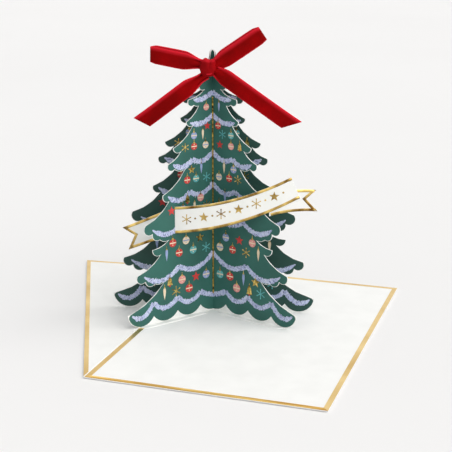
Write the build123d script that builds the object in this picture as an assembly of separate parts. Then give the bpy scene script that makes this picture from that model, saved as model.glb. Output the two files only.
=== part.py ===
from build123d import *
from math import atan2, cos, degrees, radians, sin
import os

# A pop-up greeting card that stands open: a flat base sheet, two tree-shaped
# sheets on glue tabs, a paper banner through a slit, and a velvet ribbon bow.
# X runs along the base's front edge, Y to its back edge and Z up. The origin is
# the middle of the base's underside. Lengths are in mm and angles in degrees.

# Base sheet: an oblong page, and a slanted flap beyond the scored fold.
page_width = 124.5
page_length = 184.0
flap_reach = 81.0
flap_setback = 8.0
base_thickness = 0.5
score_width = 0.7
score_depth = 0.2

# Tree sheets: both are cut to one outline and folded on its middle line.
tree_height = 150.5
tree_reach = 60.0
tree_thickness = 0.45
spine_from_fold = 29.2
spine_from_front = 113.5
spine_gap = 0.15
front_facing_angle = -72.0
front_half_angle = 52.7
back_facing_angle = -77.0
back_half_angle = 88.7
foot_height = 5.2
hem_low = 0.35
tab_start = 4.0
tab_length = 48.0
tab_width = 4.0

# Half outline, from the top down, in shares of tree_reach and tree_height.
# Each row is one tier: its tip, any cusps between its lobes, and its notch.
apex_shares = [(0.0, 1.0), (0.028, 0.985)]
apex_round_share = 0.2
tier_shares = [
    [(0.160, 0.874), (0.093, 0.857)],
    [(0.277, 0.826), (0.217, 0.804), (0.163, 0.799)],
    [(0.303, 0.746), (0.227, 0.730)],
    [(0.450, 0.655), (0.362, 0.641)],
    [(0.510, 0.598), (0.440, 0.577), (0.322, 0.571)],
    [(0.570, 0.486), (0.503, 0.460)],
    [(0.767, 0.385), (0.690, 0.349), (0.612, 0.322), (0.510, 0.314)],
    [(0.693, 0.288), (0.602, 0.265)],
    [(0.863, 0.201), (0.777, 0.173), (0.675, 0.156), (0.557, 0.161)],
]
hem_shares = [(0.975, 0.056), (0.692, 0.031), (0.422, 0.031), (0.158, 0.031)]
edge_hollow_share = -0.08
first_lobe_share = 0.44
lobe_share = 0.32
last_lobe_share = 0.15
hem_nose_share = 0.855
hem_half_lobe_share = 0.135

# Banner: one strip through a slit in the front sheet's left half, and a second
# short tail glued behind its right end.
banner_thickness = 0.35
banner_width = 15.2
banner_height = 51.0
banner_front_length = 69.0
banner_rise = 22.0
banner_tail_length = 31.3
banner_tail_drop = 12.3
banner_slit_reach = 26.5
banner_contact_reach = 37.0
banner_bow = 1.5
banner_clearance = 0.2
banner_tail_top_share = 0.83
banner_tail_notch_shares = (0.76, 0.60)
banner_tail_low_share = 0.89
banner_end_top_shares = (0.93, 0.84)
banner_sag_share = 0.05
tail_start = 52.5
tail_length = 26.0
tail_width = 12.4
tail_height = 62.6
tail_gap = 0.1
tail_low_share = 0.20
tail_notch_shares = (0.50, 0.78)
tail_top_shares = (0.07, 1.18)

# Ribbon bow: a knot in front of the tree's top, a band round the top behind it,
# two loops and two tails.
ribbon_width = 9.0
ribbon_thickness = 0.8
bow_heading_angle = 17.0
knot_height = 142.3
knot_offset = -3.0
knot_forward = 6.6
knot_width = 9.2
knot_tall = 10.0
knot_depth = 7.0
knot_round = 2.8
band_width = 10.0
band_depth = 8.6
band_tall = 6.0
band_round = 3.0
loop_depth = 5.0
loop_tip_round = 1.7
left_loop_length = 33.0
left_loop_angle = 168.0
right_loop_length = 34.0
right_loop_angle = 33.0
tail_ribbon_bend = 4.0
tail_bend_span_share = 1.2
left_tail_length = 46.0
left_tail_angle = -140.7
right_tail_length = 56.0
right_tail_angle = -35.0
neck_width = 5.0
neck_share = 0.12
full_width_share = 0.27
tail_cut_share = 0.75

origin_x = (page_width - flap_reach) / 2
origin_y = page_length / 2
up = Vector(0, 0, 1)


def toward(angle):
    """Level unit vector at an angle from X."""
    return Vector(cos(radians(angle)), sin(radians(angle)), 0)


def bulged(start, end, share):
    """Arc from start to end that stands off its chord, to the left if positive."""
    (ax, ay), (bx, by) = start, end
    middle = ((ax + bx) / 2 - share * (by - ay), (ay + by) / 2 + share * (bx - ax))
    return ThreePointArc(start, middle, end)


def upright(origin, heading):
    """Upright plane whose X runs level along heading and whose Y is up."""
    return Plane(origin=origin, x_dir=toward(heading), z_dir=toward(heading - 90))


spine = Vector(spine_from_fold - origin_x, spine_from_front - origin_y, base_thickness)


def make_base():
    """Base sheet, with the fold scored into its top."""
    left, front, back = -origin_x, -origin_y, page_length - origin_y
    corners = [
        (left, front),
        (left + page_width, front),
        (left + page_width, back),
        (left, back),
        (left - flap_reach, back - flap_setback),
    ]
    sheet = extrude(make_face(Polyline(*corners, close=True)), amount=base_thickness)
    score = Box(score_width, page_length, 2 * score_depth)
    return sheet - Pos(left, 0, base_thickness) * score


def tree_half():
    """Half of the tree outline, with reach along X and height along Y."""

    def place(share):
        return share[0] * tree_reach, share[1] * tree_height

    top, last = [place(share) for share in apex_shares]
    edges = [bulged(top, last, apex_round_share)]
    for row in tier_shares:
        tip, *lobes = [place(share) for share in row]
        edges.append(bulged(last, tip, edge_hollow_share))
        swells = [lobe_share] * len(lobes)
        if len(lobes) > 1:
            swells[0], swells[-1] = first_lobe_share, last_lobe_share
        for start, end, swell in zip([tip] + lobes, lobes, swells):
            edges.append(bulged(start, end, swell))
        last = lobes[-1]
    tip, *cusps = [place(share) for share in hem_shares]
    edges.append(bulged(last, tip, edge_hollow_share))
    dips = [tree_reach * hem_nose_share]
    dips += [(start[0] + end[0]) / 2 for start, end in zip(cusps, cusps[1:])]
    for start, dip, end in zip([tip] + cusps, dips, cusps):
        edges.append(ThreePointArc(start, (dip, hem_low), end))
    edges.append(bulged(cusps[-1], (0, hem_low), hem_half_lobe_share))
    edges.append(Line((0, hem_low), top))
    foot = Rectangle(tab_start + tab_length, foot_height, align=(Align.MIN, Align.MIN))
    return make_face(edges) + foot


def wing(facing, half_angle, side, axis, tab_inward):
    """One standing half of a tree sheet, with its glue tab on the base."""
    out = toward(facing + side * half_angle)
    inward = toward(facing + side * (half_angle - 90))
    outline = upright(axis, facing + side * half_angle) * tree_half()
    sheet = extrude(outline, amount=tree_thickness, dir=inward)
    near, far = (0, tab_width) if tab_inward else (tree_thickness, -tab_width)
    taper = abs(far - near)
    corners = [
        axis + out * tab_start + inward * near,
        axis + out * (tab_start + tab_length) + inward * near,
        axis + out * (tab_start + tab_length - taper) + inward * far,
        axis + out * (tab_start + taper) + inward * far,
    ]
    tab = extrude(make_face(Polyline(*corners, close=True)), amount=tree_thickness, dir=up)
    return sheet + tab


def make_tree(facing, half_angle, axis, tab_inward):
    """A whole tree sheet, folded on its middle line."""
    left = wing(facing, half_angle, -1, axis, tab_inward)
    right = wing(facing, half_angle, 1, axis, tab_inward)
    return left + right


# The banner's plan is one arc, from the slit to where it meets the right half.
left_heading = front_facing_angle - front_half_angle
right_heading = front_facing_angle + front_half_angle
banner_stand_off = tree_thickness + banner_clearance + banner_thickness / 2
slit_point = (
    spine
    + toward(left_heading) * banner_slit_reach
    + toward(left_heading + 90) * (tree_thickness / 2)
)
contact_point = (
    spine
    + toward(right_heading) * banner_contact_reach
    + toward(right_heading - 90) * banner_stand_off
)
banner_chord = contact_point - slit_point
banner_heading = degrees(atan2(banner_chord.Y, banner_chord.X))
banner_radius = (banner_chord.length**2 / 4 + banner_bow**2) / (2 * banner_bow)
banner_centre = (slit_point + contact_point) / 2 + toward(banner_heading + 90) * (
    banner_radius - banner_bow
)


def banner_wall(radius, thickness, low, high):
    """Tall thin wall on the banner's plan arc, from one height to another."""
    reach = 2 * degrees((banner_tail_length + banner_front_length) / banner_radius)
    start = banner_heading - 90 - reach / 2
    centre = (banner_centre.X, banner_centre.Y)
    path = CenterArc(centre, radius, start, reach)
    band = trace(path, line_width=thickness)
    return Pos(0, 0, low) * extrude(band, amount=high - low)


def cut_strip(radius, thickness, edges):
    """Strip of the banner's curved plan, cut to an outline of length and height."""
    outline = upright(Vector(slit_point.X, slit_point.Y, 0), banner_heading) * make_face(edges)
    prism = extrude(outline, amount=page_width, both=True)
    return banner_wall(radius, thickness, 0, tree_height) & prism


def make_banner():
    """Strip with a swallow-tailed left end, seen in front of the tree."""
    top = banner_height + banner_width
    low = banner_height - banner_tail_drop
    notch_back, notch_up = banner_tail_notch_shares
    end_along, end_up = banner_end_top_shares
    tail_top = (-banner_tail_length, low + banner_width * banner_tail_top_share)
    tail_notch = (-banner_tail_length * notch_back, low + banner_width * notch_up)
    tail_low = (-banner_tail_length * banner_tail_low_share, low)
    end_low = (banner_front_length, banner_height + banner_rise)
    end_top = (banner_front_length * end_along, top + banner_rise * end_up)
    edges = [
        Line((0, top), tail_top),
        Line(tail_top, tail_notch),
        Line(tail_notch, tail_low),
        Line(tail_low, (0, banner_height)),
        bulged((0, banner_height), end_low, -banner_sag_share),
        Line(end_low, end_top),
        bulged(end_top, (0, top), banner_sag_share),
    ]
    return cut_strip(banner_radius, banner_thickness, edges)


def make_banner_tail():
    """Short swallow-tailed strip glued behind the banner's right end."""
    end = tail_start + tail_length
    notch_back, notch_up = tail_notch_shares
    top_back, top_up = tail_top_shares
    low_start = (tail_start, tail_height)
    low_end = (end, tail_height + tail_width * tail_low_share)
    notch = (end - tail_width * notch_back, tail_height + tail_width * notch_up)
    top_end = (end - tail_width * top_back, tail_height + tail_width * top_up)
    top_start = (tail_start, tail_height + tail_width)
    edges = [
        bulged(low_start, low_end, banner_sag_share),
        Line(low_end, notch),
        Line(notch, top_end),
        bulged(top_end, top_start, -banner_sag_share),
        Line(top_start, low_start),
    ]
    radius = banner_radius - banner_thickness - tail_gap
    return cut_strip(radius, banner_thickness, edges)


def banner_slit():
    """Cutter for the slit that the banner passes through."""
    low = banner_height - banner_clearance
    high = banner_height + banner_width + banner_clearance
    wall = banner_wall(banner_radius, banner_thickness + 2 * banner_clearance, low, high)
    room = Box(4 * banner_width, 4 * banner_width, 2 * tree_height)
    return wall & (Pos(slit_point.X, slit_point.Y, 0) * room)


knot_centre = (
    spine
    + toward(bow_heading_angle) * knot_offset
    + toward(bow_heading_angle - 90) * knot_forward
    + up * (knot_height - base_thickness)
)


def ribbon_outline(length, end_cut):
    """Flat outline of a loop or tail: narrow at the knot, then full width."""
    half, neck = ribbon_width / 2, neck_width / 2
    points = [
        (0, neck),
        (length * neck_share, neck),
        (length * full_width_share, half),
        (length + end_cut, half),
        (length - end_cut, -half),
        (length * full_width_share, -half),
        (length * neck_share, -neck),
        (0, -neck),
    ]
    return make_face(Polyline(*points, close=True))


def ribbon_piece(path, length, angle, end_cut):
    """Ribbon along a path of length and depth, cut to its flat outline."""
    face = trace(path, line_width=ribbon_thickness)
    wall = extrude(Plane.XZ * face, amount=ribbon_width, both=True)
    prism = extrude(ribbon_outline(length, end_cut), amount=length, both=True)
    return Rot(0, 0, angle) * (wall & prism)


def make_loop(length, angle):
    """Flattened loop of ribbon: out in front, round the tip and back behind."""
    half_depth = loop_depth / 2
    turn = length - loop_tip_round - ribbon_thickness / 2
    near = ribbon_thickness / 2
    front = ThreePointArc((0, near), (turn / 2, half_depth), (turn, loop_tip_round))
    tip = ThreePointArc(
        (turn, loop_tip_round), (turn + loop_tip_round, 0), (turn, -loop_tip_round)
    )
    back = ThreePointArc((turn, -loop_tip_round), (turn / 2, -half_depth), (0, -near))
    return ribbon_piece([front, tip, back], length, angle, 0)


def make_ribbon_tail(length, angle, end_cut):
    """Free end of the ribbon, bent a little out of flat."""
    span = length * tail_bend_span_share
    path = ThreePointArc((0, 0), (length / 2, tail_ribbon_bend), (span, 0))
    return ribbon_piece([path], length, angle, end_cut)


def make_bow():
    """Tied ribbon bow, built flat in XY about its knot and then stood up."""
    knot = Box(knot_width, knot_tall, knot_depth)
    knot = fillet(knot.edges(), knot_round)
    bow = knot + make_loop(left_loop_length, left_loop_angle)
    bow += make_loop(right_loop_length, right_loop_angle)
    cut = ribbon_width / 2 * tail_cut_share
    bow += make_ribbon_tail(left_tail_length, left_tail_angle, -cut)
    bow += make_ribbon_tail(right_tail_length, right_tail_angle, cut)
    ring = RectangleRounded(
        band_width + 2 * ribbon_thickness, band_depth + 2 * ribbon_thickness, band_round
    ) - RectangleRounded(band_width, band_depth, band_round - ribbon_thickness)
    band = extrude(Plane.XZ * ring, amount=band_tall / 2, both=True)
    bow += Pos(-knot_offset, 0, -knot_depth / 2 - band_depth / 2 + ribbon_thickness) * band
    return upright(knot_centre, bow_heading_angle) * bow


back_axis = spine - toward(back_facing_angle) * (
    tree_thickness / sin(radians(back_half_angle)) + spine_gap
)
front_tree = make_tree(front_facing_angle, front_half_angle, spine, True) - banner_slit()
parts = {
    "base_card": make_base(),
    "front_tree": front_tree,
    "back_tree": make_tree(back_facing_angle, back_half_angle, back_axis, False),
    "banner": make_banner(),
    "banner_tail": make_banner_tail(),
    "ribbon_bow": make_bow(),
}
os.makedirs("parts", exist_ok=True)
for name, solid in parts.items():
    export_step(solid, f"parts/{name}.step")
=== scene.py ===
from math import atan, atan2, ceil, cos, exp, pi, radians, sin, sqrt, tan
from random import Random

import bmesh
import bpy
from mathutils import Matrix, Vector, noise
from mathutils.bvhtree import BVHTree


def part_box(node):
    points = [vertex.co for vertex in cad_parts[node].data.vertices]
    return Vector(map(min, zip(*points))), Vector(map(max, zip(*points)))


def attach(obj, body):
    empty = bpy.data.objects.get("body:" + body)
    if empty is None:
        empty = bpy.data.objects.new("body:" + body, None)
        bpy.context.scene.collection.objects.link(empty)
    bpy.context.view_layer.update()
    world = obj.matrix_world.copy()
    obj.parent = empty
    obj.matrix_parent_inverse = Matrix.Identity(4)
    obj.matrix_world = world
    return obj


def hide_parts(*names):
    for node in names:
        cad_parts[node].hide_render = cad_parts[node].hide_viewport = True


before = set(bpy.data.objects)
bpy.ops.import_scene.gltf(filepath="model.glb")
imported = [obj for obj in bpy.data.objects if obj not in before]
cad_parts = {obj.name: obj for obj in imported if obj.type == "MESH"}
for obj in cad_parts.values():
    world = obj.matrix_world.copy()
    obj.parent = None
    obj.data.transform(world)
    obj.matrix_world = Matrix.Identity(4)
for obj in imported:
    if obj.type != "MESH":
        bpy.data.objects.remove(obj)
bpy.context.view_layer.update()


# Base card: one sheet of smooth white card, scored for folding, that lies open.
# Gold foil is stamped along its edges and beside the fold.

mm = 0.001
fold_x = -21.75 * mm
page_foil_width = 2.8 * mm
flap_foil_width = 2.4 * mm
flap_stretch = 1.1
foil_thickness = 0.05 * mm
foil_grain, foil_relief = 0.9 * mm, 0.02 * mm
weld_distance = 0.001 * mm
upward_share = 0.9
cloud_stops = (0.35, 0.65)


def screen(red, green, blue):
    """Linear colour of an 8-bit screen colour."""
    shares = [value / 255 for value in (red, green, blue)]
    return (*[((share + 0.055) / 1.055) ** 2.4 for share in shares], 1.0)


def clouded(name, dark, light, cloud, grain, relief, gloss, streak=(1, 1, 1)):
    """Surface clouded between two colours, with a fine raised grain and uneven gloss."""
    material = bpy.data.materials.new(name)
    material.use_nodes = True
    nodes, links = material.node_tree.nodes, material.node_tree.links
    shader = nodes["Principled BSDF"]
    place = nodes.new("ShaderNodeTexCoord")
    way = nodes.new("ShaderNodeMapping")
    way.inputs["Scale"].default_value = streak
    links.new(place.outputs["Object"], way.inputs["Vector"])
    clouds = nodes.new("ShaderNodeTexNoise")
    clouds.inputs["Scale"].default_value = 1 / cloud
    clouds.inputs["Detail"].default_value = 4
    links.new(way.outputs["Vector"], clouds.inputs["Vector"])
    tones = nodes.new("ShaderNodeValToRGB")
    for stop, position, tone in zip(tones.color_ramp.elements, cloud_stops, (dark, light)):
        stop.position = position
        stop.color = tone
    links.new(clouds.outputs["Fac"], tones.inputs["Fac"])
    links.new(tones.outputs["Color"], shader.inputs["Base Color"])
    shine = nodes.new("ShaderNodeMapRange")
    shine.inputs["To Min"].default_value, shine.inputs["To Max"].default_value = gloss
    links.new(clouds.outputs["Fac"], shine.inputs["Value"])
    links.new(shine.outputs["Result"], shader.inputs["Roughness"])
    fibres = nodes.new("ShaderNodeTexNoise")
    fibres.inputs["Scale"].default_value = 1 / grain
    fibres.inputs["Detail"].default_value = 3
    links.new(place.outputs["Object"], fibres.inputs["Vector"])
    bump = nodes.new("ShaderNodeBump")
    bump.inputs["Distance"].default_value = relief
    links.new(fibres.outputs["Fac"], bump.inputs["Height"])
    links.new(bump.outputs["Normal"], shader.inputs["Normal"])
    return material


def gold_foil(name, dark, light, cloud, streak=(1, 1, 1), gloss=(0.25, 0.4)):
    """Hot-stamped foil: thin metal that takes the card's small unevenness."""
    material = clouded(name, dark, light, cloud, foil_grain, foil_relief, gloss, streak)
    material.node_tree.nodes["Principled BSDF"].inputs["Metallic"].default_value = 1.0
    return material


def faces_of(node, chosen):
    """The faces of a solid that pass a test, welded at their corners."""
    mesh = bmesh.new()
    mesh.from_mesh(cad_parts[node].data)
    bmesh.ops.remove_doubles(mesh, verts=mesh.verts[:], dist=weld_distance)
    mesh.normal_update()
    others = [face for face in mesh.faces if not chosen(face)]
    bmesh.ops.delete(mesh, geom=others, context="FACES")
    return mesh


def keep_border(mesh, width):
    """Cut away all but a border of this width."""
    border = bmesh.ops.inset_region(
        mesh, faces=mesh.faces[:], thickness=width, use_boundary=True, use_even_offset=True
    )["faces"]
    inside = [face for face in mesh.faces if face not in set(border)]
    bmesh.ops.delete(mesh, geom=inside, context="FACES")


def cut_off(mesh, place, outward):
    """Cut a mesh at a plane and take away what lies outward of it."""
    everything = mesh.verts[:] + mesh.edges[:] + mesh.faces[:]
    bmesh.ops.bisect_plane(mesh, geom=everything, plane_co=place, plane_no=outward, clear_outer=True)


def add_piece(mesh, name, materials, thickness=0, offset=1):
    """Make a mesh a piece of the card. A thickness makes it a skin, outward at an offset of 1."""
    data = bpy.data.meshes.new(name)
    mesh.to_mesh(data)
    mesh.free()
    for material in materials:
        data.materials.append(material)
    piece = bpy.data.objects.new(name, data)
    bpy.context.scene.collection.objects.link(piece)
    if thickness:
        skin = piece.modifiers.new("skin", "SOLIDIFY")
        skin.thickness = thickness
        skin.offset = offset
    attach(piece, "root")
    return piece


def dress(node, material):
    """Give a solid its finish."""
    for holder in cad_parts[node].material_slots:
        holder.material = material


base_low, base_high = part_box("base_card")
base_top = base_high.z
white_card = clouded(
    "white_card", screen(245, 245, 243), screen(249, 249, 247),
    cloud=14 * mm, grain=0.35 * mm, relief=0.015 * mm, gloss=(0.62, 0.78),
)
border_gold = gold_foil("border_gold", screen(214, 178, 104), screen(238, 210, 146), cloud=30 * mm)
# The front band of the border foil is a copy of the border gold, streaked dark and bright along the
# edge: painted reflections.
front_foil_painted_reflections = gold_foil(
    "front_foil_painted_reflections", screen(188, 142, 58), screen(248, 218, 136),
    cloud=7 * mm, streak=(0.16, 2.2, 1), gloss=(0.5, 0.65),
)
dress("base_card", white_card)


def on_top(face):
    """Whether a face of the base lies on top of it, and not in the score."""
    return face.normal.z > upward_share and face.calc_center_median().z > base_top - foil_thickness


page = faces_of("base_card", lambda face: on_top(face) and face.calc_center_median().x > fold_x)
keep_border(page, page_foil_width)
# Faces along the front edge take the foil copy with painted reflections.
for face in page.faces:
    face.material_index = int(face.calc_center_median().y < base_low.y + page_foil_width)
add_piece(page, "page_foil", [border_gold, front_foil_painted_reflections], foil_thickness)

flap = faces_of("base_card", lambda face: on_top(face) and face.calc_center_median().x < fold_x)
flap_tip = min(flap.verts, key=lambda vert: vert.co.x).co.copy()
fold_side = [vert for vert in flap.verts if vert.co.x > fold_x - flap_foil_width]
flap_end = max(vert.co.x for vert in fold_side)

# No foil runs along the flap's fold: that side is drawn out first and cut back after.
bmesh.ops.scale(
    flap, verts=fold_side, vec=(flap_stretch, flap_stretch, 1), space=Matrix.Translation(-flap_tip)
)
keep_border(flap, flap_foil_width)
cut_off(flap, Vector((flap_end, 0, 0)), Vector((1, 0, 0)))
add_piece(flap, "flap_foil", [border_gold], foil_thickness)


# Tree sheets: two sheets of card cut to one outline, folded on its middle line and
# glued down by tabs. Both sides are printed green, short of the cut white edge.

spine = Vector((7.45 * mm, 21.5 * mm, base_top))
up = Vector((0, 0, 1))
tree_height = 150.5 * mm
tree_reach = 60.0 * mm
tree_thickness = 0.45 * mm
spine_gap = 0.15 * mm
front_facing, front_half_angle = -72.0, 52.7
back_facing, back_half_angle = -77.0, 88.7
print_margin = 0.22 * mm
print_thickness = 0.04 * mm
hem_low = 0.35 * mm
arc_step = radians(14)

# Half outline from the top down, in shares of reach and height. Each row is one
# tier: its tip, any cusps between its lobes, and the notch below.
shoulder_share = (0.028, 0.985)
apex_round_share = 0.2
tier_shares = [
    [(0.160, 0.874), (0.093, 0.857)],
    [(0.277, 0.826), (0.217, 0.804), (0.163, 0.799)],
    [(0.303, 0.746), (0.227, 0.730)],
    [(0.450, 0.655), (0.362, 0.641)],
    [(0.510, 0.598), (0.440, 0.577), (0.322, 0.571)],
    [(0.570, 0.486), (0.503, 0.460)],
    [(0.767, 0.385), (0.690, 0.349), (0.612, 0.322), (0.510, 0.314)],
    [(0.693, 0.288), (0.602, 0.265)],
    [(0.863, 0.201), (0.777, 0.173), (0.675, 0.156), (0.557, 0.161)],
]
nose_shares = [(0.943, 0.060), (0.968, 0.043)]
hem_shares = [(0.692, 0.031), (0.422, 0.031), (0.158, 0.031)]
edge_hollow_share = -0.08
first_lobe_share = 0.44
lobe_share = 0.32
last_lobe_share = 0.15
nose_round_share = 0.18
nose_lobe_share = 0.324
hem_half_lobe_share = 0.135


def level(angle):
    """Level unit vector at an angle from X, in degrees."""
    return Vector((cos(radians(angle)), sin(radians(angle)), 0))


def on_sheet(share):
    """Point of the flat half sheet, from its shares of reach and height."""
    return Vector((share[0] * tree_reach, share[1] * tree_height, 0))


def arc_to(mesh, corner, end, share):
    """Spin an outline's corner along an arc to its next corner, which is returned."""
    chord = end - corner.co
    turn = 4 * atan(2 * share)
    radius = chord.length / 2 / sin(turn / 2)
    left = Vector((-chord.y, chord.x, 0)).normalized()
    centre = (corner.co + end) / 2 - left * radius * cos(turn / 2)
    spun = bmesh.ops.spin(
        mesh, geom=[corner], cent=centre, axis=up, angle=-turn, steps=ceil(abs(turn) / arc_step)
    )
    return next(item for item in spun["geom_last"] if isinstance(item, bmesh.types.BMVert))


def trim_at_crease(mesh, crease):
    """Cut off what reaches past the crease of a flat half sheet."""
    cut_off(mesh, Vector((crease, 0, 0)), Vector((-1, 0, 0)))


def printed_half(crease):
    """Flat printed area of half a sheet, from the crease to just inside the cut edge."""
    mesh = bmesh.new()

    # The outline starts past the crease, so that the white margin there is trimmed off.
    start = crease - 2 * print_margin
    corner = mesh.verts.new((start, tree_height, 0))
    corner = arc_to(mesh, corner, on_sheet(shoulder_share), apex_round_share)
    for row in tier_shares:
        tip, *lobes = [on_sheet(share) for share in row]
        corner = arc_to(mesh, corner, tip, edge_hollow_share)
        swells = [lobe_share] * len(lobes)
        if len(lobes) > 1:
            swells[0], swells[-1] = first_lobe_share, last_lobe_share
        for lobe, swell in zip(lobes, swells):
            corner = arc_to(mesh, corner, lobe, swell)
    nose_top, nose_end = [on_sheet(share) for share in nose_shares]
    cusps = [on_sheet(share) for share in hem_shares]
    corner = arc_to(mesh, corner, nose_top, edge_hollow_share)
    corner = arc_to(mesh, corner, nose_end, nose_round_share)
    corner = arc_to(mesh, corner, cusps[0], nose_lobe_share)
    for cusp in cusps[1:]:
        drop_share = (cusp.y - hem_low) / (corner.co.x - cusp.x)
        corner = arc_to(mesh, corner, cusp, drop_share)
    arc_to(mesh, corner, Vector((start, hem_low, 0)), hem_half_lobe_share)
    sheet = mesh.faces.new(reversed(mesh.verts[:]))
    sheet.normal_update()
    margin = bmesh.ops.inset_region(
        mesh, faces=[sheet], thickness=print_margin, use_boundary=True, use_even_offset=False
    )["faces"]
    bmesh.ops.delete(mesh, geom=margin, context="FACES")
    trim_at_crease(mesh, crease)
    return mesh


def lay(flat, matrix, layer):
    """Move a flat mesh onto a face of a tree and add it to a layer of that tree."""
    bmesh.ops.transform(flat, matrix=matrix, verts=flat.verts[:])
    if matrix.determinant() < 0:
        bmesh.ops.reverse_faces(flat, faces=flat.faces[:])
    laid = bpy.data.meshes.new("laid")
    flat.to_mesh(laid)
    flat.free()
    layer.from_mesh(laid)
    bpy.data.meshes.remove(laid)


def tree_faces(facing, half_angle, axis):
    """Each printed face of a tree: its matrix, where its crease is, and whether it shows."""
    faces = []
    for side in (-1, 1):
        out = level(facing + side * half_angle)
        inward = level(facing + side * (half_angle - 90))
        for normal, lift, crease in (
            (inward, tree_thickness, tree_thickness / tan(radians(half_angle))),
            (-inward, 0, 0),
        ):
            matrix = Matrix((out, up, normal)).transposed().to_4x4()
            matrix.translation = axis + normal * lift
            faces.append((matrix, crease, normal is inward))
    return faces


trees = {
    "front": tree_faces(front_facing, front_half_angle, spine),
    "back": tree_faces(
        back_facing,
        back_half_angle,
        spine - level(back_facing) * (tree_thickness / sin(radians(back_half_angle)) + spine_gap),
    ),
}
cut_card = clouded(
    "cut_card", screen(243, 243, 240), screen(250, 250, 248),
    cloud=9 * mm, grain=0.3 * mm, relief=0.02 * mm, gloss=(0.7, 0.85),
)
# The back sheet's green is darker than the front's: painted shade, as the back sheet stands in the
# front sheet's shadow.
greens = {
    name: clouded(
        f"{name}_green", screen(*dark), screen(*light),
        cloud=18 * mm, grain=0.4 * mm, relief=0.015 * mm, gloss=(0.55, 0.72),
    )
    for name, dark, light in (
        ("front", (34, 90, 81), (44, 102, 92)),
        ("back", (24, 66, 58), (32, 77, 68)),
    )
}
for name, faces in trees.items():
    dress(f"{name}_tree", cut_card)
    layer = bmesh.new()
    for matrix, crease, shows in faces:
        lay(printed_half(crease), matrix, layer)
    add_piece(layer, f"{name}_print", [greens[name]], print_thickness)


# Garlands: frayed lilac tinsel, printed in swags across each tier and along the hem.
# Dark and pale strands lie across it at all angles.

garland_thickness = 0.03 * mm
strand_thickness = 0.02 * mm
tinsel_half_width = 1.35 * mm
fray_pitch = 0.5 * mm
fray_share = 0.28
strand_pitch = 0.36 * mm
strand_lengths = (0.8 * mm, 2.0 * mm)
strand_width = 0.24 * mm
strand_lean = radians(65)
strand_spread = 0.85
taper_rate, taper_end = 4.0, 0.25
DARK, PALE = 1, 2
dark_every = 3

# Each row is one garland, from the crease outwards: the shares of its hooks, the share of
# its sag, and whether it tapers at its last hook.
garland_shares = [
    ([(0.0, 0.062), (0.158, 0.086)], 0.004, False),
    ([(0.158, 0.086), (0.422, 0.086), (0.692, 0.084), (0.930, 0.052)], 0.030, True),
    ([(0.0, 0.232), (0.40, 0.205), (0.79, 0.192)], 0.034, True),
    ([(0.0, 0.395), (0.36, 0.372), (0.69, 0.365)], 0.030, True),
    ([(0.0, 0.502), (0.27, 0.484), (0.515, 0.480)], 0.024, True),
    ([(0.0, 0.622), (0.24, 0.604), (0.455, 0.596)], 0.019, True),
    ([(0.0, 0.760), (0.262, 0.741)], 0.016, True),
    ([(0.0, 0.846), (0.222, 0.824)], 0.011, True),
]


def swag(start, end, sag, along):
    """Point of a hanging curve, at a share of its way, and the direction across it."""
    chord = end - start
    point = start + chord * along + Vector((0, -4 * sag * along * (1 - along), 0))
    slope = chord + Vector((0, -4 * sag * (1 - 2 * along), 0))
    return point, Vector((-slope.y, slope.x, 0)).normalized()


def fullness(along, tapers):
    """Share of its full width that a garland has, less towards an end that tapers."""
    return min(1, taper_end + taper_rate * (1 - along)) if tapers else 1


def bar(mesh, middle, length, width, turn, tone):
    """Flat oblong of one colour, turned by an angle."""
    verts = bmesh.ops.create_grid(mesh, x_segments=1, y_segments=1, size=0.5)["verts"]
    bmesh.ops.scale(mesh, verts=verts, vec=(length, width, 1))
    bmesh.ops.rotate(mesh, verts=verts, cent=(0, 0, 0), matrix=Matrix.Rotation(turn, 3, "Z"))
    bmesh.ops.translate(mesh, verts=verts, vec=middle)
    verts[0].link_faces[0].material_index = tone


def tinsel(mesh, start, end, sag, tapers, draws):
    """Frayed band along a hanging curve."""
    steps = ceil((end - start).length / fray_pitch)
    for vert in bmesh.ops.create_grid(mesh, x_segments=steps, y_segments=2, size=1)["verts"]:
        along = (vert.co.x + 1) / 2
        point, aside = swag(start, end, sag, along)
        fray = (1 + fray_share * draws.uniform(-1, 1)) * fullness(along, tapers)
        vert.co = point + aside * vert.co.y * tinsel_half_width * fray


def strands(mesh, start, end, sag, tapers, draws):
    """Short strokes across a hanging curve, one in three of them dark."""
    for number in range(ceil((end - start).length / strand_pitch)):
        along = draws.random()
        point, aside = swag(start, end, sag, along)
        tone = PALE if number % dark_every else DARK
        lift = Vector((0, 0, garland_thickness + (tone - DARK) * strand_thickness))
        full = fullness(along, tapers)
        off_middle = aside * tinsel_half_width * full * draws.uniform(-strand_spread, strand_spread)
        turn = atan2(aside.y, aside.x) + draws.uniform(-strand_lean, strand_lean)
        length = full * draws.uniform(*strand_lengths)
        bar(mesh, point + off_middle + lift, length, strand_width, turn, tone)


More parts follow.
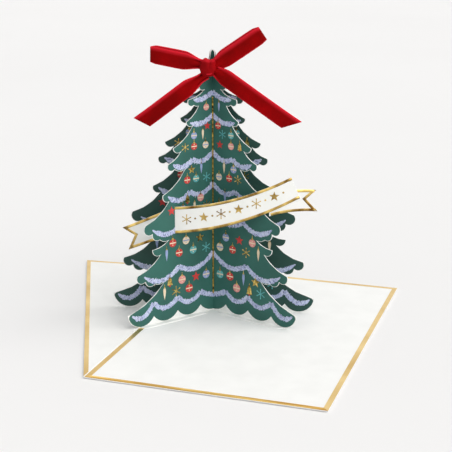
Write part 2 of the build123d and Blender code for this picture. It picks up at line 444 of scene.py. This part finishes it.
tinsel_prints = [
    clouded(name, dark, light, cloud=5 * mm, grain=0.4 * mm, relief=0.02 * mm, gloss=(0.5, 0.7))
    for name, dark, light in (
        ("lilac_tinsel", screen(172, 182, 218), screen(190, 199, 230)),
        ("dark_strands", screen(84, 93, 142), screen(104, 113, 162)),
        ("pale_strands", screen(210, 217, 242), screen(228, 233, 249)),
    )
]
above_print = Matrix.Translation((0, 0, print_thickness))
for name, faces in trees.items():
    layer = bmesh.new()
    for number, (matrix, crease, shows) in enumerate(faces):
        draws = Random(number)
        flat = bmesh.new()
        for hook_shares, sag_share, tapers_out in garland_shares:
            hooks = [on_sheet(share) for share in hook_shares]
            hooks[0].x = max(hooks[0].x, crease)
            for start, end in zip(hooks, hooks[1:]):
                tapers = tapers_out and end is hooks[-1]
                tinsel(flat, start, end, sag_share * tree_height, tapers, draws)
                strands(flat, start, end, sag_share * tree_height, tapers, draws)
        trim_at_crease(flat, crease)
        lay(flat, matrix @ above_print, layer)
    add_piece(layer, f"{name}_garlands", tinsel_prints, strand_thickness)


# Crease foil: a line of gold glitter foil stamped down the front fold, from below the
# bow to just above the hem.

crease_foil_width = 0.6 * mm
crease_foil_shares = (0.066, 0.826)

glitter_gold = gold_foil("glitter_gold", screen(104, 78, 28), screen(244, 214, 126), cloud=1.6 * mm)
above_garlands = Matrix.Translation(
    (0, 0, print_thickness + garland_thickness + 2 * strand_thickness)
)
layer = bmesh.new()
for matrix, crease, shows in trees["front"]:
    if shows:
        flat = bmesh.new()
        low, high = [share * tree_height for share in crease_foil_shares]
        middle = Vector((crease + crease_foil_width / 2, (high + low) / 2, 0))
        bar(flat, middle, crease_foil_width, high - low, 0, 0)
        lay(flat, matrix @ above_garlands, layer)
add_piece(layer, "crease_foil", [glitter_gold], foil_thickness)


# Ornaments: baubles, icicles, bells, snowflakes and stars, printed in flat colours and
# stamped in gold foil. They hang on gold threads below the garlands.

ornament_thickness = 0.03 * mm
ornament_radius = 2.6 * mm
shrink_share = 0.35
thread_width = 0.26 * mm
thread_length = 2.0 * mm
RED, PINK, TEAL, BLUE, CREAM, GOLD = range(6)

# Shares of an ornament's radius, and the powers that curve a bell and an icicle.
cap_shares = (0.5, 0.45)
band_shares = (1.8, 0.3)
dot_place_share, dot_share = 0.5, 0.15
bell_power, bell_waist_share, bell_flare_share, bell_rim_share = 0.6, 0.55, 0.75, 0.75
clapper_place_share, clapper_share = 0.85, 0.24
icicle_power, icicle_width_share, icicle_length_share = 0.7, 0.5, 1.5
icicle_top_share, icicle_cap_share = 1.4, 0.7
arm_shares = (2.3, 0.2)
arm_dot_place_share, arm_dot_share = 1.1, 0.17
star_share, star_inner_share = 1.25, 0.42

# Each row is a share of the height, and the shares of reach of the ornaments there.
ornament_shares = [
    (0.110, (0.29, 0.44, 0.57)),
    (0.150, (0.09, 0.21, 0.37, 0.51)),
    (0.258, (0.09, 0.24, 0.40, 0.54)),
    (0.300, (0.16, 0.32, 0.47)),
    (0.423, (0.08, 0.22, 0.35, 0.48)),
    (0.455, (0.15, 0.30)),
    (0.530, (0.08, 0.20, 0.30)),
    (0.566, (0.14, 0.25)),
    (0.652, (0.09, 0.22, 0.32)),
    (0.692, (0.12, 0.22)),
    (0.722, (0.07,)),
    (0.792, (0.08,)),
]


def disc(x, y):
    """A disc's own outline."""
    return x, y


def squared(value, power):
    """A unit circle's coordinate moved towards a square's."""
    return abs(value) ** power * (1 if value > 0 else -1)


def bell_outline(x, y):
    """A disc's point moved to a bell: a dome above, flared and cut flat below."""
    flare = bell_waist_share + bell_flare_share * max(0, -y) ** 2
    return squared(x, bell_power) * flare, max(y, -bell_rim_share)


def icicle_outline(x, y):
    """A disc's point moved to a long drop with its point below."""
    taper = ((y + 1) / 2) ** icicle_power
    return icicle_width_share * x * taper, icicle_length_share * y


def star_outline(x, y):
    """One of ten points round a disc moved to a star, every second one drawn in."""
    reach = 1 if cos(5 * atan2(x, y)) > 0 else star_inner_share
    return x * reach, y * reach


def spot(mesh, middle, radius, tone, outline=disc, points=18):
    """Flat shape of one colour, from the points of a disc."""
    verts = bmesh.ops.create_circle(mesh, cap_ends=True, segments=points, radius=1)["verts"]
    for vert in verts:
        x, y = outline(vert.co.x, vert.co.y)
        vert.co = middle + radius * Vector((x, y, 0))
    verts[0].link_faces[0].material_index = tone


def hang(mesh, top, radius):
    """Gold cap and thread at the top of an ornament."""
    cap_width, cap_height = [share * radius for share in cap_shares]
    bar(mesh, top + layer_up, cap_width, cap_height, 0, GOLD)
    thread_middle = top + layer_up / 2 + Vector((0, thread_length / 2, 0))
    bar(mesh, thread_middle, thread_width, thread_length, 0, GOLD)


def bauble(mesh, middle, radius, tone):
    """Round bauble with a pale band and two dots."""
    spot(mesh, middle, radius, tone)
    band = BLUE if tone == CREAM else CREAM
    band_length, band_width = [share * radius for share in band_shares]
    bar(mesh, middle + layer_up, band_length, band_width, 0, band)
    for side in (-1, 1):
        dot_middle = middle + layer_up + Vector((0, side * dot_place_share * radius, 0))
        spot(mesh, dot_middle, dot_share * radius, band, points=6)
    hang(mesh, middle + Vector((0, radius, 0)), radius)


def icicle(mesh, middle, radius, tone):
    """Long glass drop."""
    spot(mesh, middle, radius, tone, icicle_outline)
    hang(mesh, middle + Vector((0, icicle_top_share * radius, 0)), icicle_cap_share * radius)


def bell(mesh, middle, radius, tone):
    """Small bell with its clapper."""
    spot(mesh, middle, radius, tone, bell_outline)
    clapper_middle = middle + layer_up + Vector((0, -clapper_place_share * radius, 0))
    spot(mesh, clapper_middle, clapper_share * radius, RED, points=10)
    hang(mesh, middle + Vector((0, radius, 0)), radius)


def snowflake(mesh, middle, radius, tone):
    """Six thin arms with a dot on each end."""
    arm_length, arm_width = [share * radius for share in arm_shares]
    for number in range(3):
        bar(mesh, middle, arm_length, arm_width, number * pi / 3 + pi / 6, tone)
    for number in range(6):
        dot_middle = middle + layer_up + arm_dot_place_share * radius * level(60 * number + 30)
        spot(mesh, dot_middle, arm_dot_share * radius, tone, points=6)


def star(mesh, middle, radius, tone):
    """Small five-pointed star."""
    spot(mesh, middle, star_share * radius, tone, star_outline, points=10)


# The ornaments in the order that they are hung, and the first one on each printed face.
hung = [
    (bauble, RED), (snowflake, GOLD), (icicle, CREAM), (bauble, BLUE), (star, RED),
    (bauble, PINK), (bell, GOLD), (snowflake, TEAL), (bauble, TEAL), (bauble, RED),
    (icicle, BLUE), (star, GOLD), (bauble, CREAM),
]
first_hung = (0, 0, 5, 0)
layer_up = Vector((0, 0, ornament_thickness))
ornament_paints = [
    clouded(
        name, screen(*dark), screen(*light),
        cloud=3 * mm, grain=0.4 * mm, relief=0.015 * mm, gloss=(0.5, 0.68),
    )
    for name, dark, light in (
        ("print_red", (186, 44, 42), (206, 58, 54)),
        ("print_pink", (220, 142, 138), (234, 162, 156)),
        ("print_teal", (78, 158, 162), (104, 184, 186)),
        ("print_blue", (136, 154, 198), (158, 174, 214)),
        ("print_cream", (230, 208, 176), (242, 224, 196)),
    )
] + [glitter_gold]
for name, faces in trees.items():
    layer = bmesh.new()
    for number, (matrix, crease, shows) in enumerate(faces):
        flat = bmesh.new()
        place = first_hung[number]
        for height_share, reach_shares in ornament_shares:
            radius = ornament_radius * (1 - shrink_share * height_share)
            for reach_share in reach_shares:
                make, tone = hung[place % len(hung)] if shows else (star, GOLD)
                make(flat, on_sheet((reach_share, height_share)), radius, tone)
                place += 1
        lay(flat, matrix @ above_garlands, layer)
    add_piece(layer, f"{name}_ornaments", ornament_paints, ornament_thickness)


# Banner: a strip of white paper that comes through a slit in the tree, with a short
# tail glued behind its right end. Gold foil runs along its edges and dots its face.

banner_foil_width = 1.5 * mm
banner_heading = 10.2
banner_start = Vector((-7.45 * mm, -0.41 * mm, 0))
banner_height = 58.6 * mm
banner_length = 69.0 * mm
banner_rise = 22.0 * mm
banner_sag = 3.6 * mm
banner_end_height = 73.0 * mm
banner_end_lean = 22.5
tail_start = 52.5 * mm
banner_star_shares = [0.10, 0.24, 0.38, 0.52, 0.66, 0.80]
banner_star_radius = 2.3 * mm
banner_dot_radius = 0.55 * mm
banner_dot_share = 0.07
facing_share = 0.5

banner_facing = level(banner_heading - 90)
banner_paper = clouded(
    "banner_paper", screen(246, 247, 243), screen(251, 251, 248),
    cloud=16 * mm, grain=0.3 * mm, relief=0.012 * mm, gloss=(0.5, 0.65),
)
banner_gold = gold_foil("banner_gold", screen(96, 62, 14), screen(246, 214, 130), cloud=9 * mm)
banner_way = level(banner_heading)
end_way = banner_way * cos(radians(banner_end_lean)) + up * sin(radians(banner_end_lean))
for strip, joined_end, outward in (
    ("banner", banner_start + banner_way * banner_length + up * banner_end_height, end_way),
    ("banner_tail", banner_start + banner_way * tail_start, -banner_way),
):
    dress(strip, banner_paper)
    front = faces_of(strip, lambda face: face.normal.dot(banner_facing) > facing_share)
    if strip == "banner":
        banner_face = BVHTree.FromBMesh(front)

    # No foil runs across the joined end: it is drawn out first and cut back after.
    end_verts = [
        vert for vert in front.verts if (vert.co - joined_end).dot(outward) > -banner_foil_width / 3
    ]
    bmesh.ops.translate(front, verts=end_verts, vec=outward * 2 * banner_foil_width)
    keep_border(front, banner_foil_width)
    cut_off(front, joined_end, outward)
    add_piece(front, f"{strip}_foil", [banner_gold], foil_thickness)

row = bmesh.new()
for number, share in enumerate(banner_star_shares):
    for further, make, radius in (
        (0, (snowflake, star)[number % 2], banner_star_radius),
        (banner_dot_share, spot, banner_dot_radius),
    ):
        along = share + further
        height = banner_height + banner_rise * along - 4 * banner_sag * along * (1 - along)
        make(row, Vector((banner_length * along, height, 0)), radius, 0)
for vert in row.verts:
    ahead = banner_start + banner_way * vert.co.x + up * vert.co.y + banner_facing * banner_length
    vert.co = banner_face.ray_cast(ahead, -banner_facing)[0] + banner_facing * vert.co.z
add_piece(row, "banner_stars", [banner_gold], foil_thickness)


# Bow: one length of red velvet ribbon, tied round the tree's top. Its loops are pressed
# almost flat, its pleats close up at the knot, and its ends are cut on the slant.

bow_heading = 17.0
knot_offset, knot_forward, knot_height = -3.0 * mm, 6.6 * mm, 142.3 * mm
knot_centre = Vector((spine.x, spine.y, knot_height))
knot_centre += level(bow_heading) * knot_offset + level(bow_heading - 90) * knot_forward
bow_frame = Matrix((level(bow_heading), up, level(bow_heading - 90))).transposed().to_4x4()
bow_frame.translation = knot_centre
ribbon_width = 9.0 * mm
ribbon_thickness = 0.7 * mm
neck_width = 4.6 * mm
neck_reach, full_reach = 3.0 * mm, 13.0 * mm
pleat_depth, pleat_waves = 1.3 * mm, 1.5
loop_gap = 2.2 * mm
loop_tip_radius = 1.5 * mm
loop_tip_share = 0.06
loop_tip_pinch, pinch_start = 0.1, 0.9
loop_back_rise, back_rise_span = 0.6 * mm, (0.5, 0.6)
slant_start = 0.7
tail_bend = 4.0 * mm
tail_bend_share = 0.6
ribbon_along, ribbon_across = 72, 10

# Each pair is a place across the ribbon, from its lower edge to its upper one, and the share of the
# painted edge highlight there. Light falls from above, so the upper edge is the brighter one.
edge_highlight_stops = [(0.0, 0.7), (0.08, 0.0), (0.74, 0.0), (0.90, 0.55), (1.0, 1.0)]

# Each run of ribbon: height of its root, angle, length, slant of its end, and then how
# far a loop's back layer rises or a tail arches.
loops = [
    (0.7 * mm, 168.9, 30.8 * mm, -0.7 * mm, -loop_back_rise),
    (-2.5 * mm, 34.0, 36.3 * mm, 0, loop_back_rise),
]
tails = [
    (-4.6 * mm, -144.2, 43.8 * mm, -2.3 * mm, -0.6 * mm),
    (0.4 * mm, -34.4, 56.3 * mm, 3.6 * mm, 0.8 * mm),
]


def ease(value, low, high):
    """Smooth step from 0 at low to 1 at high."""
    share = min(max((value - low) / (high - low), 0), 1)
    return share * share * (3 - 2 * share)


def loop_path(length):
    """Path of a flattened loop: distance out and depth, at a share of its way round."""
    turn = length - loop_tip_radius

    def path(share):
        if abs(share - 0.5) < loop_tip_share:
            angle = pi / 2 * (0.5 - share) / loop_tip_share
            return turn + loop_tip_radius * cos(angle), loop_tip_radius * sin(angle)
        layer_side = 1 if share < 0.5 else -1
        way = (0.5 - abs(share - 0.5)) / (0.5 - loop_tip_share)
        swell = 4 * (loop_gap - loop_tip_radius / 2) * way * (1 - way)
        return turn * way, layer_side * (loop_tip_radius * way + swell)

    return path


def tail_path(length):
    """Path of a ribbon tail that bends forward a little and falls back."""
    return lambda share: (length * share, tail_bend * (1 - (share / tail_bend_share - 1) ** 2))


def ribbon(mesh, root, angle, length, path, cut, back_rise, arch, pinch):
    """Strip of ribbon along a path, pleated at the knot, turned to its angle in the bow."""
    grid = bmesh.ops.create_grid(
        mesh, x_segments=ribbon_along, y_segments=ribbon_across, size=1
    )["verts"]

    # A run that points left is turned over, so its lower edge is the other one. The painted highlight
    # stays on the edge that is upper in the bow.
    upward = 1 if cos(radians(angle)) > 0 else -1
    for vert in grid:
        share, across = (vert.co.x + 1) / 2, vert.co.y
        out, depth = path(share)
        way = out / length
        spread = ease(out, neck_reach, full_reach)
        half = (neck_width + (ribbon_width - neck_width) * spread) / 2
        half *= 1 - pinch * ease(way, pinch_start, 1)
        pleat = pleat_depth * (1 - spread) * cos(pleat_waves * pi * across)
        slant = cut * across * ease(way, slant_start, 1)
        rise = back_rise * ease(share, *back_rise_span) * spread
        rise += arch * sin(pi * sqrt(min(way, 1)))
        vert.co = (out + slant, across * half + rise, depth + pleat)
        vert[mesh.verts.layers.float["across"]] = (1 + upward * across) / 2
    bmesh.ops.rotate(mesh, verts=grid, cent=(0, 0, 0), matrix=Matrix.Rotation(radians(angle), 3, "Z"))
    bmesh.ops.translate(mesh, verts=grid, vec=(0, root, 0))


def velvet(name):
    """Short-pile velvet: a deep colour, with a painted highlight mixed in along its edges, strongest
    on the upper one.
    """
    material = clouded(
        name, screen(126, 0, 1), screen(154, 0, 6),
        cloud=14 * mm, grain=0.22 * mm, relief=0.1 * mm, gloss=(0.75, 0.95),
    )
    nodes, links = material.node_tree.nodes, material.node_tree.links
    shader = nodes["Principled BSDF"]
    shader.inputs["Specular IOR Level"].default_value = 0.05
    shader.inputs["Sheen Weight"].default_value = 0.2
    shader.inputs["Sheen Roughness"].default_value = 0.3
    shader.inputs["Sheen Tint"].default_value = screen(255, 40, 52)
    # Painted highlight: a bright red mixed in by place across the ribbon, most at its upper edge.
    across = nodes.new("ShaderNodeAttribute")
    across.attribute_name = "across"
    highlight_ramp = nodes.new("ShaderNodeValToRGB")
    for position, share in edge_highlight_stops[1:-1]:
        highlight_ramp.color_ramp.elements.new(position)
    for stop, (position, share) in zip(highlight_ramp.color_ramp.elements, edge_highlight_stops):
        stop.color = (share, share, share, 1)
    links.new(across.outputs["Fac"], highlight_ramp.inputs["Fac"])
    mix = nodes.new("ShaderNodeMix")
    mix.data_type = "RGBA"
    mix.inputs["B"].default_value = screen(228, 38, 54)
    links.new(highlight_ramp.outputs["Color"], mix.inputs["Factor"])
    links.new(nodes["Color Ramp"].outputs["Color"], mix.inputs["A"])
    links.new(mix.outputs["Result"], shader.inputs["Base Color"])
    return material


def soften(piece):
    """Shade a piece smooth, as cloth looks."""
    for face in piece.data.polygons:
        face.use_smooth = True


red_velvet = velvet("red_velvet")
bow_mesh = bmesh.new()
bow_mesh.verts.layers.float.new("across")
for root, angle, length, cut, back_rise in loops:
    ribbon(bow_mesh, root, angle, length, loop_path(length), cut, back_rise, 0, loop_tip_pinch)
for root, angle, length, cut, arch in tails:
    ribbon(bow_mesh, root, angle, length, tail_path(length), cut, 0, arch, 0)
bmesh.ops.transform(bow_mesh, matrix=bow_frame, verts=bow_mesh.verts[:])
bow = add_piece(bow_mesh, "ribbon_bow_loops", [red_velvet], ribbon_thickness, offset=0)
soften(bow)
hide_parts("ribbon_bow")


# Band: the same ribbon, taken round the tree's top behind the knot. The knot hides its
# front, so only its sides and back show.

band_centre = Vector((3.0, 0.5, -7.0)) * mm
band_half = Vector((4.9, 2.0, 4.5)) * mm
band_square = 0.55

band_mesh = bmesh.new()
band_across = band_mesh.verts.layers.float.new("across")
bmesh.ops.create_grid(band_mesh, x_segments=ribbon_along, y_segments=ribbon_across, size=1)
for vert in band_mesh.verts:
    turn, across = vert.co.x * pi, vert.co.y
    vert[band_across] = (1 + across) / 2
    ring = Vector((squared(sin(turn), band_square), across, squared(-cos(turn), band_square)))
    vert.co = band_centre + Vector([share * half for share, half in zip(ring, band_half)])
bmesh.ops.remove_doubles(band_mesh, verts=band_mesh.verts[:], dist=weld_distance)
bmesh.ops.recalc_face_normals(band_mesh, faces=band_mesh.faces[:])
bmesh.ops.transform(band_mesh, matrix=bow_frame, verts=band_mesh.verts[:])
bow_band = add_piece(band_mesh, "ribbon_band", [red_velvet], ribbon_thickness)
soften(bow_band)
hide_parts("ribbon_bow")


# Knot: the same ribbon, wrapped once over the crossing and pulled tight, so that it is
# dented at the top, creased below the dent and folded under at the bottom.

knot_half = Vector((4.7, 5.2, 3.7)) * mm
knot_shift = Vector((0.9, -0.5, 0)) * mm
knot_square = 0.72
knot_taper = 0.3
knot_round, knot_rows = 64, 48
lump_size, lump_height = 3.2 * mm, 0.45 * mm
dent_depth, crease_depth, hem_rise = 1.2 * mm, 0.7 * mm, 0.5 * mm
# Shares of painted highlight on the knot: a little sheen all over it, and more on its top.
knot_painted_sheen, knot_top_highlight = 0.54, 0.8

# Places on the knot, in shares of its half size. A span is where a form starts and where
# it is full.
dent_place, dent_width, dent_span = 0.15, 0.3, (0.4, 1)
crease_width, crease_span = 0.16, (-0.3, 0.9)
hem_place, hem_width, hem_curve, hem_end_span = -0.62, 0.1, 0.25, (0.3, 0.6)
front_span = (0, 0.4)
top_span = (0.1, 0.9)


def ridge(value, place, width):
    """Height of a rounded ridge at a value, as a share of its height in the middle."""
    return exp(-(((value - place) / width) ** 2))


knot_mesh = bmesh.new()
knot_across = knot_mesh.verts.layers.float.new("across")
bmesh.ops.create_uvsphere(knot_mesh, u_segments=knot_round, v_segments=knot_rows, radius=1)
for vert in knot_mesh.verts:
    way = vert.co.normalized()
    soft = Vector([squared(value, knot_square) for value in vert.co])
    front = ease(soft.z, *front_span)
    dent = ridge(soft.x, dent_place, dent_width) * ease(soft.y, *dent_span)
    crease = ridge(soft.x, dent_place, crease_width) * ease(soft.y, *crease_span) * front
    under = ridge(soft.y, hem_place + hem_curve * soft.x**2, hem_width) * front
    under *= 1 - ease(abs(soft.x - dent_place), *hem_end_span)
    body = Vector([value * half for value, half in zip(soft, knot_half)])
    body.x *= 1 - knot_taper * ease(-soft.y, 0, 1)
    lump = lump_height * noise.noise(body / lump_size)
    vert.co = knot_shift + body + way * lump
    vert.co.y -= dent_depth * dent
    vert.co.z += hem_rise * under - crease_depth * crease
    # Painted highlight: the edge colour mixed over the whole knot, more on its top and on the fold
    # under its bottom.
    top = knot_top_highlight * ease(soft.y, *top_span)
    vert[knot_across] = (1 + max(under, top, knot_painted_sheen)) / 2
bmesh.ops.transform(knot_mesh, matrix=bow_frame, verts=knot_mesh.verts[:])
bmesh.ops.recalc_face_normals(knot_mesh, faces=knot_mesh.faces[:])
knot = add_piece(knot_mesh, "ribbon_knot", [red_velvet])
soften(knot)
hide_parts("ribbon_bow")


# Floor: a plain pale surface under soft light from the right, with the whole room
# pale around it.

floor_size = 8.0
floor_drop = 0.4 * mm
daylight = (1.0, 0.985, 0.965)
room_tint = (0.95, 0.985, 1.0, 1.0)
room_light = 0.32

# Each lamp: its name, its strength, its breadth in degrees, and the way to it.
lamps = [
    ("window", 2.06, 80, (0.80, -0.08, 0.60)),
    ("ceiling", 1.08, 120, (0.10, -0.10, 1.0)),
]

floor_mesh = bmesh.new()
bmesh.ops.create_grid(floor_mesh, x_segments=1, y_segments=1, size=floor_size / 2)
bmesh.ops.translate(floor_mesh, verts=floor_mesh.verts[:], vec=(0, 0, -floor_drop))
floor_data = bpy.data.meshes.new("floor")
floor_mesh.to_mesh(floor_data)
floor_mesh.free()
floor = bpy.data.objects.new("floor", floor_data)
bpy.context.scene.collection.objects.link(floor)
floor_data.materials.append(
    clouded(
        "floor_paint", screen(239, 238, 238), screen(241, 240, 240),
        cloud=600 * mm, grain=4 * mm, relief=0.01 * mm, gloss=(0.8, 0.9),
    )
)

for name, energy, breadth, towards in lamps:
    sun_data = bpy.data.lights.new(name, "SUN")
    sun_data.energy = energy
    sun_data.angle = radians(breadth)
    sun_data.color = daylight
    sun = bpy.data.objects.new(name, sun_data)
    sun.rotation_euler = Vector(towards).to_track_quat("Z", "Y").to_euler()
    bpy.context.scene.collection.objects.link(sun)

world = bpy.data.worlds.new("room")
world.use_nodes = True
nodes, links = world.node_tree.nodes, world.node_tree.links
lit = nodes["Background"]
lit.inputs["Color"].default_value = room_tint
lit.inputs["Strength"].default_value = room_light
seen = nodes.new("ShaderNodeBackground")
seen.inputs["Color"].default_value = screen(246, 245, 245)
rays = nodes.new("ShaderNodeLightPath")
share = rays.outputs["Is Camera Ray"]
for ray in ("Is Glossy Ray", "Is Transmission Ray"):
    either = nodes.new("ShaderNodeMath")
    either.operation = "MAXIMUM"
    links.new(share, either.inputs[0])
    links.new(rays.outputs[ray], either.inputs[1])
    share = either.outputs["Value"]
mix = nodes.new("ShaderNodeMixShader")
links.new(share, mix.inputs["Fac"])
links.new(lit.outputs["Background"], mix.inputs[1])
links.new(seen.outputs["Background"], mix.inputs[2])
links.new(mix.outputs["Shader"], nodes["World Output"].inputs["Surface"])
bpy.context.scene.world = world
bpy.context.scene.view_settings.view_transform = "Standard"


# Camera: a long lens a little above the card, at its front right. Its place, its turn and
# its focal length in pixels were fitted to the photograph's perspective.

photo_width = 452
focal_pixels = 1108.1
sensor_width = 36.0
nearest = 0.01
camera_place = (0.2063, -0.5535, 0.2225)
camera_down, camera_turn = 15.776, 18.382

camera_data = bpy.data.cameras.new("camera")
camera_data.sensor_fit = "HORIZONTAL"
camera_data.sensor_width = sensor_width
camera_data.lens = sensor_width * focal_pixels / photo_width
camera_data.clip_start = nearest
camera = bpy.data.objects.new("camera", camera_data)
camera.location = camera_place
camera.rotation_euler = (radians(90 - camera_down), 0, radians(camera_turn))
bpy.context.scene.collection.objects.link(camera)
bpy.context.scene.camera = camera
